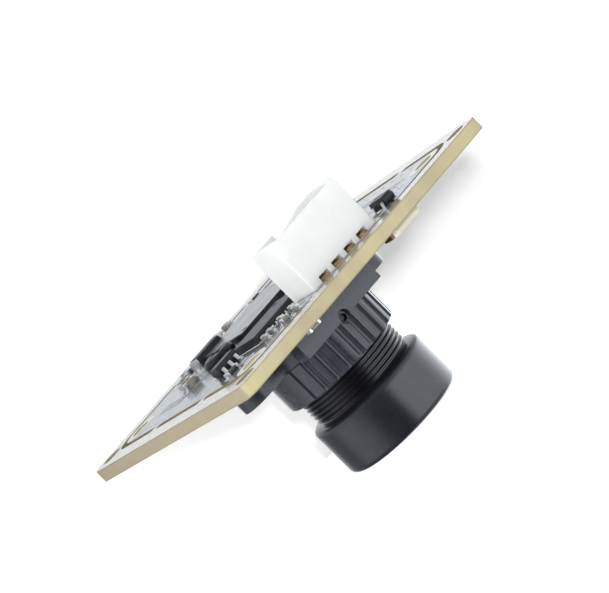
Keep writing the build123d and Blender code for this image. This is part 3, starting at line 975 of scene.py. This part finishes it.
@dataclass
class BoardWorks:
    """The circuit board: its finish, plated rings, tracks, vias and printed outlines."""

    line: float = 16.4
    inner_hole: float = 14.0
    ring_inside: float = 1.07
    ring_width: float = 0.75
    ring_height: float = 0.035
    track_width: float = 0.16
    track_height: float = 0.022
    via_radius: float = 0.26
    via_hole: float = 0.11
    via_rise: float = 0.008
    via_floor: float = 0.002
    via_slopes: Tuple[float, float] = (0.03, 0.04)
    via_inset: float = 1.35
    ink_width: float = 0.13
    ink_height: float = 0.014
    dot_radii: Tuple[float, float] = (0.22, 0.2)
    dot_gap: float = 0.7

    def __post_init__(self) -> None:
        """Reads the board's heights from the frame."""
        low, high = node_box("circuit_board")
        self.under = float(low[2])
        self.top = float(high[2])
        self.half = float(high[0])

    def build(self) -> None:
        """Dresses the board and lays what is on it."""
        PALETTE.add(BoardFinish("board_laminate", self.top, self.under, self.half, self.line))
        dress("circuit_board", "board_laminate")
        self.plated_rings()
        self.tracks()
        self.printed_outlines()

    def ring(self, spot: Tuple[float, float], level: float, up: float) -> Grid:
        """A thin flat ring with sloped lips: a low trapezium turned about the hole's axis.

        Args:
            spot: its middle.
            level: the height of the face that it lies on.
            up: 1 for the top face and -1 for the underside.

        Returns:
            The surface.
        """
        inner = self.ring_inside
        outer = inner + self.ring_width
        lip = self.ring_height * BANK
        side = level + up * (self.ring_height - lip)
        flat = level + up * self.ring_height
        rise = [(inner, level), (inner, side), (inner + lip, flat)]
        fall = [(outer - lip, flat), (outer, side), (outer, level)]
        return turned(np.array(rise + fall + rise[:1]), 48, spot)

    def plated_rings(self) -> None:
        """The gilt rings round the inner holes, on both faces."""
        spots = [(x * self.inner_hole, y * self.inner_hole) for x in (-1, 1) for y in (-1, 1)]
        faces = ((self.top, 1.0), (self.under, -1.0))
        rings = [self.ring(spot, level, up) for level, up in faces for spot in spots]
        make_piece("hole_rings", rings, "gilt_pad")

    def bus(self, path: Sequence[Tuple[float, float]], count: int, gap: float) -> List[np.ndarray]:
        """Lays lines side by side along a path, bent with it.

        Args:
            path: the middle line's corners.
            count: how many lines.
            gap: the distance from line to line.

        Returns:
            Each line's corners.
        """
        corners = np.array(path, float)
        side = side_steps(corners)
        return [corners + side * gap * (number - (count - 1) / 2) for number in range(count)]

    def tracks(self) -> None:
        """Copper tracks under the mask, a via at both ends of each, and a row of vias along each edge."""
        lines = [line for count, gap, path in BUSES for line in self.bus(path, count, gap)]
        high = self.top + self.track_height
        tracks = [strip(line, self.track_width, self.top, high) for line in lines]
        make_piece("covered_tracks", tracks, "covered_copper")
        vias = [self.via(*line[end]) for line in lines for end in (0, -1)]
        edge = self.line - self.via_inset
        for step in np.linspace(-10.0, 10.0, 11):
            vias += [self.via(*spot) for spot in ((step, edge), (step, -edge), (edge, step), (-edge, step))]
        make_piece("vias", vias, "tinned_metal")

    def via(self, x: float, y: float) -> Grid:
        """A small raised ring with a dimple for its hole: a stepped profile turned about its axis.

        Args:
            x: its place along X.
            y: its place along Y.

        Returns:
            The surface.
        """
        floor = self.top + self.via_floor
        rim = self.top + self.track_height + self.via_rise
        inner, outer = self.via_slopes
        profile = [
            (0.0, floor), (self.via_hole, floor), (self.via_hole + inner, rim), (self.via_radius - outer, rim),
            (self.via_radius, self.top), (0.0, self.top),
        ]
        return turned(np.array(profile), 14, (x, y))

    def outline(self, low: np.ndarray, high: np.ndarray) -> Grid:
        """A printed rectangle between two corners. Args: the corners. Returns: it."""
        path = np.array([[low[0], low[1]], [high[0], low[1]], [high[0], high[1]], [low[0], high[1]]])
        return strip(path, self.ink_width, self.top, self.top + self.ink_height, closed=True)

    def printed_outlines(self) -> None:
        """White printed outlines round the chips and the socket, and a dot at each first pad."""
        marks = []
        for node, gap, ends in OUTLINES:
            low, high = node_box(node)
            step = np.array([gap + ends, gap, 0.0])
            marks.append(self.outline(low - step, high + step))
        ink = self.top + self.ink_height
        wide, narrow = self.dot_radii
        profile = np.array([[0.0, self.top], [wide, self.top], [narrow, ink], [0.0, ink]])
        for node, corner in (("processor_chip", 0), ("memory_chip", 1)):
            x, y, _ = node_box(node)[corner] + self.dot_gap * (2 * corner - 1)
            marks.append(turned(profile, 20, (x, y)))
        make_piece("printed_outlines", marks, "ink_white")


@dataclass
class HolderWorks:
    """The lens holder, its two screws and the set screw."""

    edge: float = 0.09
    screw_edge: float = 0.05
    set_screw_edge: float = 0.03

    def build(self) -> None:
        """Copies the nodes with soft moulded edges."""
        softened("lens_holder", "holder_moulding", "holder_moulding", "holder_plastic", self.edge, 3)
        softened("holder_screws", "holder_screw_pair", "black_steel", "black_steel", self.screw_edge)
        softened("set_screw", "headless_screw", "black_steel", "bright_steel", self.set_screw_edge)


@dataclass
class LensWorks:
    """The turned lens barrel with its thread, the glass and the rings inside it."""

    head_length: float = 5.65
    thread_radius: float = 5.95
    thread_depth: float = 0.31
    pitch: float = 0.5
    runout: float = 0.35
    crest_flat: float = 0.1
    root_flat: float = 0.1
    end_gap: float = 0.02
    front_round: float = 0.6
    rear_chamfer: float = 0.3
    flare_depth: float = 0.9
    flare_steps: int = 3
    bore: float = 4.35
    shoulder: float = 0.35
    flare_overhang: float = 0.85
    rear_break: Tuple[float, float] = (0.25, 0.55)
    side_margins: Tuple[float, float] = (0.4, 0.9)
    side_rings: int = 6
    segments: int = 192
    samples: int = 11
    barrel_angle: float = math.radians(45.0)
    glass_angle: float = math.radians(30.0)

    def build(self) -> None:
        """Makes the barrel and dresses what is inside."""
        high = node_box("lens_barrel")[1]
        self.head_radius = float(high[0])
        self.rear = float(high[2])
        surfaces = [self.shell(), self.thread()]
        barrel = make_piece(
            "lens_barrel_turned", surfaces, "head_anodised", LENS, self.barrel_angle
        )
        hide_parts("lens_barrel")
        for node in ("front_element", "middle_element", "rear_element"):
            mesh = merged_copy(node, flat=False)
            piece = finish_piece(
                node + "_polished", mesh, "coated_glass", GLASS, self.glass_angle
            )
            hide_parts(node)
        for node in ("front_spacer", "stop_spacer", "retaining_ring"):
            dress(node, "inner_black")
        dress("ir_filter", "filter_glass")
        dress("sensor_glass", "cover_glass")

    def head_outside(self) -> np.ndarray:
        """Draws the head from the flare's mouth over the front to the thread.

        The front edge is a quarter circle, the side is straight, and the rear edge is a chamfer
        in two slopes.

        Returns:
            Rows of radius and height.
        """
        radius = self.head_radius
        opening = self.bore - self.shoulder + self.flare_overhang
        front = arc((radius - self.front_round, self.front_round), self.front_round, -90, 0, 12)
        rim = [[radius, self.head_length - self.rear_chamfer]]
        inwards, forwards = self.rear_break
        rear = [
            [radius - self.rear_chamfer * inwards, self.head_length - self.rear_chamfer * forwards],
            [radius - self.rear_chamfer, self.head_length],
            [self.thread_radius - self.thread_depth, self.head_length],
        ]
        start, end = self.side_margins
        levels = np.linspace(self.front_round + start, self.head_length - end, self.side_rings)
        side = [[radius, z] for z in levels]
        return np.vstack([[[opening, 0.0]], front, side, rim, rear])

    def inside(self) -> np.ndarray:
        """Draws the bore from the rear end to the flare's mouth.

        The flare widens in equal steps, each as deep as the next.

        Returns:
            Rows of radius and height.
        """
        opening = self.bore - self.shoulder
        points = [[self.bore, self.rear], [self.bore, self.flare_depth], [opening, self.flare_depth]]
        step = self.flare_depth / self.flare_steps
        widening = self.flare_overhang / self.flare_steps
        for number in reversed(range(self.flare_steps)):
            outer = opening + (self.flare_steps - number) * widening
            points.append([outer - widening, (number + 1) * step])
            points.append([outer, (number + 1) * step])
        points.append([opening + self.flare_overhang, 0.0])
        return np.array(points)

    def shell(self) -> Grid:
        """The thread's rear end, the bore and the head, turned as one surface open at the thread.

        Returns:
            The surface.
        """
        root = self.thread_radius - self.thread_depth
        rear = np.array([[root, self.rear - self.end_gap], [root, self.rear]])
        profile = np.vstack([rear, self.inside(), self.head_outside(), [[root, self.head_length + self.end_gap]]])
        return turned(profile, self.segments)

    def thread(self) -> Grid:
        """The thread as one ribbon wound round the barrel.

        Across the ribbon the ridge goes from root to flat crest and back within one pitch. Along
        it the height climbs by the pitch for each turn, so each turn's lower side meets the turn
        before. Heights past either end are pressed onto it, and the ridge grows from nothing over
        the runout.

        Returns:
            The surface.
        """
        start = self.head_length + self.end_gap
        end = self.rear - self.end_gap
        turns = int((end - start) / self.pitch) + 2
        turn = np.arange(turns * self.segments + 1) / self.segments
        across = np.linspace(-0.5, 0.5, self.samples)
        z = np.clip(start + self.pitch * (turn[None, :] + across[:, None] - 0.5), start, end)
        slope = (0.5 - self.root_flat - np.abs(across)) / (0.5 - self.root_flat - self.crest_flat)
        fade = np.clip((z - start) / self.runout, 0, 1) * np.clip((end - z) / self.runout, 0, 1)
        radius = self.thread_radius - self.thread_depth + self.thread_depth * np.clip(slope, 0, 1)[:, None] * fade
        angle = (turn % 1.0) * math.tau
        return Grid(np.stack([radius * np.cos(angle), radius * np.sin(angle), z], axis=-1))


@dataclass
class SocketWorks:
    """The white plug socket, its pins and the solder on them."""

    edge: float = 0.12
    pin_edge: float = 0.04
    cone_tip: float = 0.3
    cone_radius: float = 0.62
    cone_height: float = 0.42
    foot: Tuple[float, float, float] = (1.16, 1.3, 0.5)
    foot_inset: float = 0.1
    foot_corner: float = 9.0
    foot_bow: float = 0.35

    def build(self) -> None:
        """Copies the housing and pins with soft edges, and adds the pins' feet and solder.

        The solder under the board is a cone whose radius shrinks to its tip by a square.
        """
        softened("socket_housing", "plug_socket_housing", "white_nylon", "white_nylon", self.edge, 3)
        softened("socket_pins", "plug_pins", "brass_pin", "tinned_metal", self.pin_edge)
        under, top = (corner[2] for corner in node_box("circuit_board"))
        front = node_box("socket_housing")[0][1]
        cones = []
        feet = []
        for low, high in solids_of("socket_pins"):
            x, y, _ = (low + high) / 2
            t = np.linspace(0, 1, 8)
            radius = self.cone_tip + (self.cone_radius - self.cone_tip) * (1 - t) ** 2
            profile = np.column_stack([radius, under - self.cone_height * t])
            profile = np.vstack([[[0.0, under]], profile, [[0.0, under - self.cone_height]]])
            cones.append(turned(profile, 20, (x, y)))
            corner = np.array([x - self.foot[0] / 2, front + self.foot_inset, top])
            feet.append(cushion(corner, corner + self.foot, self.foot_corner, self.foot_bow))
        make_piece("pin_solder", cones, "solder")
        make_piece("plug_pin_feet", feet, "brass_pin")


class Side(Enum):
    """Which face of the board a part is soldered to."""

    TOP = 1.0
    UNDER = -1.0


# Each small part: its CAD node, the rounded piece, its finish, its slot, the rounding and its faces.
SMALL_PARTS = (
    ("processor_chip", "processor_moulding", "chip_polished", "chip_epoxy", 0.05, 2),
    ("memory_chip", "memory_moulding", "chip_epoxy", "chip_epoxy", 0.05, 2),
    ("regulator_body", "regulator_moulding", "chip_epoxy", "chip_epoxy", 0.05, 2),
    ("transistor_body", "transistor_moulding", "chip_epoxy", "chip_epoxy", 0.05, 2),
    ("diode_body", "diode_moulding", "chip_epoxy", "chip_epoxy", 0.05, 2),
    ("choke_body", "choke_moulding", "cream_moulding", "cream_plastic", 0.12, 3),
    ("regulator_legs", "regulator_bent_legs", "tinned_metal", "tinned_metal", 0.03, 2),
    ("transistor_legs", "transistor_bent_legs", "tinned_metal", "tinned_metal", 0.03, 2),
    ("diode_clips", "diode_end_clips", "tinned_metal", "tinned_metal", 0.04, 2),
    ("choke_clips", "choke_terminals", "dark_copper", "copper", 0.03, 2),
    ("capacitor_bodies", "capacitor_ceramics", "tan_ceramic", "capacitor_ceramic", 0.05, 2),
    ("capacitor_ends", "capacitor_caps", "tinned_metal", "tinned_metal", 0.07, 3),
    ("resistor_bodies", "resistor_ceramics", "glazed_black", "resistor_ceramic", 0.03, 2),
    ("resistor_ends", "resistor_caps", "tinned_metal", "tinned_metal", 0.05, 3),
)


@dataclass
class PartWorks:
    """The chips and the small parts, with their pads and solder."""

    pad_height: float = 0.03
    cap_length: float = 0.32
    clip_length: float = 0.25
    chip_climb: float = 0.62
    chip_reach: float = 0.3
    chip_overlap: float = 0.02
    chip_land: float = 0.36
    land_margin: float = 0.04
    land_corner: float = 6.0
    land_bow: float = 0.3
    leg_solder: Tuple[float, float, float] = (0.42, 0.16, 0.14)
    leg_land: Tuple[float, float] = (0.27, 0.42)
    leg_inset: float = 0.22
    pad_solder: Tuple[float, float, float] = (0.24, 0.2, 0.17)

    def __post_init__(self) -> None:
        """Reads the board's two faces from the frame."""
        low, high = node_box("circuit_board")
        self.levels = {Side.TOP: float(high[2]), Side.UNDER: float(low[2])}
        self.pads: List[Grid] = []
        self.solder: List[Grid] = []

    def build(self) -> None:
        """Rounds and dresses every part, then solders it down."""
        pieces = {name: softened(node, name, *rest) for node, name, *rest in SMALL_PARTS}
        self.choke_ends(pieces["choke_terminals"])
        dress("sensor_package", "fired_ceramic")
        dress("sensor_die", "glazed_black")
        for low, high in solids_of("capacitor_bodies") + solids_of("resistor_bodies"):
            self.solder_chip(low, high, self.cap_length)
        for legs in ("regulator_legs", "transistor_legs"):
            self.solder_legs(legs)
        for part in ("processor", "memory"):
            dress(part + "_pads", "tinned_metal")
            self.solder_pads(part + "_pads", part + "_chip")
        self.solder_chip(*node_box("diode_body"), self.clip_length)
        make_piece("solder_lands", self.pads, "tinned_metal")
        make_piece("solder_fillets", self.solder, "solder")

    def choke_ends(self, piece: bpy.types.Object) -> None:
        """Covers the cream block's +X terminal in cream and leaves the other in dark copper.

        Args:
            piece: both terminals.
        """
        piece.data.materials.append(PALETTE.get("cream_moulding"))
        low, high = node_box("choke_clips")
        middles = np.empty(len(piece.data.polygons) * 3)
        piece.data.polygons.foreach_get("center", middles)
        far = middles.reshape(-1, 3)[:, 0] / MM > (low[0] + high[0]) / 2
        piece.data.polygons.foreach_set("material_index", far.astype(np.int32))

    def land(self, centre: np.ndarray, half: np.ndarray, face: Side) -> None:
        """Adds a pad under a part's end.

        Args:
            centre: its middle, x and y.
            half: half its sizes along X and Y.
            face: the board's face.
        """
        level = self.levels[face]
        far = level + face.value * self.pad_height
        low = np.array([*(centre - half), min(level, far)])
        high = np.array([*(centre + half), max(level, far)])
        self.pads.append(cushion(low, high, self.land_corner, self.land_bow))

    @staticmethod
    def toe(low: np.ndarray, high: np.ndarray, axis: int, sign: float) -> Tuple[np.ndarray, np.ndarray]:
        """Finds where a leg, pad or end stops.

        Args:
            low: its lowest corner.
            high: its highest corner.
            axis: 0 if it points along X and 1 along Y.
            sign: 1 or -1, the way that it points.

        Returns:
            The middle of its end face, and the unit vector that points away from it.
        """
        out = np.zeros(2)
        out[axis] = sign
        place = ((low + high) / 2)[:2]
        place[axis] = high[axis] if sign > 0 else low[axis]
        return place, out

    def solder_chip(self, low: np.ndarray, high: np.ndarray, end: float) -> None:
        """Solders both ends of a two-ended part.

        Args:
            low: the lowest corner of its middle.
            high: the highest corner of its middle.
            end: the length of each metal end.
        """
        face = Side.TOP if high[2] > self.levels[Side.TOP] else Side.UNDER
        axis = int(np.argmax((high - low)[:2]))
        width = (high - low)[1 - axis] + self.chip_overlap
        size = (width, self.chip_reach, (high[2] - low[2]) * self.chip_climb)
        half = np.full(2, width / 2 + self.land_margin)
        half[axis] = self.chip_land
        for sign in (-1.0, 1.0):
            place, out = self.toe(low, high, axis, sign)
            foot = place + out * end
            self.solder.append(fillet(foot, out, size, self.levels[face], face.value))
            self.land(foot + out * self.land_margin, half, face)

    def solder_legs(self, node: str) -> None:
        """Solders the feet of bent legs, which point away from the body.

        Args:
            node: the legs' node.
        """
        middle = sum(node_box(node.replace("legs", "body"))) / 2
        for low, high in solids_of(node):
            axis = int(np.argmax((high - low)[:2]))
            sign = 1.0 if (low + high)[axis] / 2 > middle[axis] else -1.0
            place, out = self.toe(low, high, axis, sign)
            self.solder.append(fillet(place, out, self.leg_solder, self.levels[Side.TOP], 1.0))
            half = np.full(2, self.leg_land[0])
            half[axis] = self.leg_land[1]
            self.land(place - out * self.leg_inset, half, Side.TOP)

    def solder_pads(self, node: str, chip: str) -> None:
        """Wets the toe of every pad along a chip's edge.

        Args:
            node: the pads' node.
            chip: the chip's node.
        """
        body_low, body_high = node_box(chip)
        for low, high in solids_of(node):
            centre = (low + high) / 2
            gaps = np.column_stack([centre - body_low, body_high - centre])[:2]
            axis, far = divmod(int(np.argmin(gaps)), 2)
            place, out = self.toe(low, high, axis, 2.0 * far - 1.0)
            self.solder.append(fillet(place, out, self.pad_solder, self.levels[Side.TOP], 1.0))


# What gloss sees: degrees round Z and a grey, near the horizon and above it.
HORIZON = (
    (-180, 0.4), (-155, 0.18), (-138, 0.01), (-112, 0.01), (-99, 0.03), (-94, 1.0), (-89, 1.0), (-84, 0.84),
    (-62, 0.85), (-20, 0.62), (15, 0.97), (60, 1.0), (85, 0.3), (105, 0.1), (132, 0.12), (155, 0.4), (180, 0.4),
)
SKY = (
    (-180, 0.25), (-150, 0.14), (-118, 0.08), (-90, 0.14), (-40, 0.25), (20, 0.28), (48, 0.36), (56, 0.34),
    (62, 0.28), (100, 0.28), (150, 0.25), (180, 0.25),
)
SKY_TINT = (0.93, 0.97, 1.03)


@dataclass(frozen=True)
class SoftBox:
    """One square studio lamp, its place and width in millimetres. Gloss does not show it."""

    name: str
    place: Tuple[float, float, float]
    power: float
    size: float

    def build(self, aim: Vector) -> None:
        """Hangs the lamp and turns it to the object.

        Args:
            aim: the point that it faces.
        """
        data = bpy.data.lights.new(self.name, "AREA")
        data.energy = self.power
        data.size = self.size * MM
        lamp = bpy.data.objects.new(self.name, data)
        bpy.context.scene.collection.objects.link(lamp)
        lamp.location = Vector(self.place) * MM
        lamp.rotation_mode = "QUATERNION"
        lamp.rotation_quaternion = (aim - lamp.location).to_track_quat("-Z", "Y")
        lamp.visible_glossy = False


@dataclass
class Studio:
    """The floor, the back card, the lamps, the white surroundings and the camera."""

    camera_place: Tuple[float, float, float] = (-119.37, -224.42, 47.37)
    camera_aim: Tuple[float, float, float] = (1.623, -1.090, 15.905)
    camera_roll: float = -45.284
    focal_pixels: float = 2618.4
    picture_width: float = 609.0
    sensor: float = 36.0
    lamp_aim: Tuple[float, float, float] = (0.0, 0.0, 12.0)
    floor_size: float = 1200.0
    floor_drop: float = 0.02
    card_behind: float = 19.4
    card_size: float = 150.0
    card_glow: float = 0.6
    card_dimming: float = 0.43
    shadow_height: float = 8.6
    shadow_fade: Tuple[float, float] = (2.0, 5.5)
    shadow_start: Tuple[float, float] = (14.0, 22.0)
    shadow_end: Tuple[float, float] = (39.0, 46.0)
    lamp_reach: Tuple[float, float] = (90.0, 190.0)
    floor_glow: float = 0.73
    ambient: float = 0.25
    gloss: float = 3.0
    horizon: Tuple[float, float] = (-0.02, 0.14)
    below: Tuple[float, float] = (-0.7, -0.2)
    gloss_below: float = 0.3
    boxes: Tuple[SoftBox, ...] = (
        SoftBox("shadow_key", (-103.4, -230.0, 59.5), 0.357, 15.0),
        SoftBox("left_fill", (-215.0, 20.0, 45.0), 0.27, 150.0),
        SoftBox("top_fill", (-20.0, 30.0, 240.0), 0.28, 160.0),
    )

    def build(self) -> None:
        """Sets the stage."""
        bpy.context.scene.view_settings.view_transform = "Standard"
        self.camera()
        self.world()
        level = Matrix.Translation((0, 0, -self.floor_drop * MM))
        self.paper("studio_floor", self.floor_size, level, self.floor_glow, 0.0)
        upright = Matrix.Translation((0, self.card_behind * MM, 0)) @ Matrix.Rotation(math.pi / 2, 4, "X")
        self.paper("back_card", self.card_size, upright, self.card_glow, self.card_dimming)
        for box in self.boxes:
            box.build(Vector(self.lamp_aim) * MM)

    def world(self) -> None:
        """White to the camera; to gloss, bright behind and above, and dim where the camera stands.

        The direction's angle round Z picks the brightness near the horizon, and its height
        blends that into a bright sky.
        """
        world = bpy.data.worlds.new("white_surroundings")
        bpy.context.scene.world = world
        world.use_nodes = True
        bench = MaterialBench.for_tree(world.node_tree)
        way = bench.node("ShaderNodeTexCoord", {}, {}).outputs["Generated"]
        x, y, z = bench.split(way)
        turn = bench.math("ARCTAN2", y, x) * (1 / math.tau) + 0.5
        level = bench.node("ShaderNodeValToRGB", {"stops": self.grey_stops(HORIZON)}, {"Fac": turn})
        sky = bench.node("ShaderNodeValToRGB", {"stops": self.grey_stops(SKY)}, {"Fac": turn})
        seen = bench.mixed(z.rise(*self.horizon), level.outputs["Color"], sky.outputs["Color"])
        light = bench.node("ShaderNodeBackground", {}, {"Color": WHITE, "Strength": self.ambient})
        above = z.rise(*self.below) * (1.0 - self.gloss_below) + self.gloss_below
        gloss = bench.node("ShaderNodeBackground", {}, {"Color": seen, "Strength": above * self.gloss})
        white = bench.node("ShaderNodeBackground", {}, {"Color": WHITE})
        path = bench.node("ShaderNodeLightPath", {}, {})
        mirror = Signal(bench, path.outputs["Is Glossy Ray"]).most(Signal(bench, path.outputs["Is Transmission Ray"]))
        first = bench.node("ShaderNodeMixShader", {}, {0: mirror, 1: light.outputs[0], 2: gloss.outputs[0]})
        camera = Signal(bench, path.outputs["Is Camera Ray"])
        both = bench.node("ShaderNodeMixShader", {}, {0: camera, 1: first.outputs[0], 2: white.outputs[0]})
        bench.node("ShaderNodeOutputWorld", {}, {"Surface": both.outputs[0]})

    @staticmethod
    def grey_stops(levels: Sequence[Tuple[float, float]]) -> List[Tuple[float, Colour]]:
        """Turns angles and greys into ramp stops. Args: levels: degrees round Z and a grey. Returns: stops."""
        tinted = [(angle, tuple(min(1.0, grey * part) for part in SKY_TINT)) for angle, grey in levels]
        return [((angle + 180.0) / 360.0, colour) for angle, colour in tinted]

    def paper(self, name: str, size: float, place: Matrix, glow: float, dimming: float) -> None:
        """A plain pale sheet that lamps and shadows show on, white to the camera where it is lit.

        It glows for the camera alone, and fully far from the object, where the lamps no longer
        reach it. In the band where the board's shadow falls it may glow less. From behind the
        sheet is clear.

        Args:
            name: the sheet's name.
            size: its length and width.
            place: where it lies.
            glow: how strongly it glows near the object.
            dimming: how much less it glows in the shadow's band.
        """
        half = size / 2
        across = np.linspace(-half, half, 3)
        x, y = np.meshgrid(across, across, indexing="ij")
        points = np.stack([x, y, np.zeros_like(x)], axis=-1)
        mesh = bpy.data.meshes.new(name)
        grid = Grid(points)
        mesh.from_pydata((points.reshape(-1, 3) * MM).tolist(), [], grid.faces(0).tolist())
        mesh.transform(place)
        bench = MaterialBench(name)
        x, y, z = bench.axes()
        near_reach, far_reach = self.lamp_reach
        far = (x * x + y * y + z * z).rise(near_reach**2, far_reach**2)
        band = 1.0 - (z - self.shadow_height).size().rise(*self.shadow_fade)
        band = band * x.rise(*self.shadow_start) * (1.0 - x.rise(*self.shadow_end))
        near = glow - band * dimming
        colour = bench.mixed(bench.noise(0.01, 2.0), (0.93, 0.93, 0.93), (0.95, 0.95, 0.95))
        bench.finish(Base_Color=colour, Roughness=0.9, Specular_IOR_Level=0.0)
        camera = Signal(bench, bench.node("ShaderNodeLightPath", {}, {}).outputs["Is Camera Ray"])
        shine = bench.node("ShaderNodeEmission", {}, {"Strength": camera * near.most(far)})
        both = bench.node("ShaderNodeAddShader", {}, {0: bench.shader.outputs[0], 1: shine.outputs[0]})
        behind = bench.node("ShaderNodeNewGeometry", {}, {}).outputs["Backfacing"]
        clear = bench.node("ShaderNodeBsdfTransparent", {}, {})
        shown = bench.node("ShaderNodeMixShader", {}, {0: behind, 1: both.outputs[0], 2: clear.outputs[0]})
        bench.tree.links.new(shown.outputs[0], bench.output.inputs["Surface"])
        mesh.materials.append(bench.material)
        sheet = bpy.data.objects.new(name, mesh)
        bpy.context.scene.collection.objects.link(sheet)
        sheet.visible_glossy = False
        sheet.visible_transmission = False

    def camera(self) -> None:
        """The camera at the photograph's viewing angle, rolled as the photograph is."""
        data = bpy.data.cameras.new("photo_camera")
        data.sensor_width = self.sensor
        data.lens = self.focal_pixels / self.picture_width * self.sensor
        data.clip_start = 0.01
        data.clip_end = 10.0
        camera = bpy.data.objects.new("photo_camera", data)
        bpy.context.scene.collection.objects.link(camera)
        place = Vector(self.camera_place) * MM
        back = (place - Vector(self.camera_aim) * MM).normalized()
        level = Vector((0, 0, 1)).cross(back).normalized()
        upright = back.cross(level)
        roll = math.radians(self.camera_roll)
        right = level * math.cos(roll) + upright * math.sin(roll)
        up = back.cross(right)
        turn = Matrix((right, up, back)).transposed()
        camera.matrix_world = Matrix.Translation(place) @ turn.to_4x4()
        bpy.context.scene.camera = camera


def main() -> None:
    """Builds the sub-assemblies in order and sets the stage."""
    logging.basicConfig(level=logging.INFO, format="%(name)s %(message)s")
    for works in (BoardWorks(), HolderWorks(), LensWorks(), SocketWorks(), PartWorks()):
        LOG.info("building %s", type(works).__name__)
        works.build()
    Studio().build()


if __name__ == "__main__":
    main()
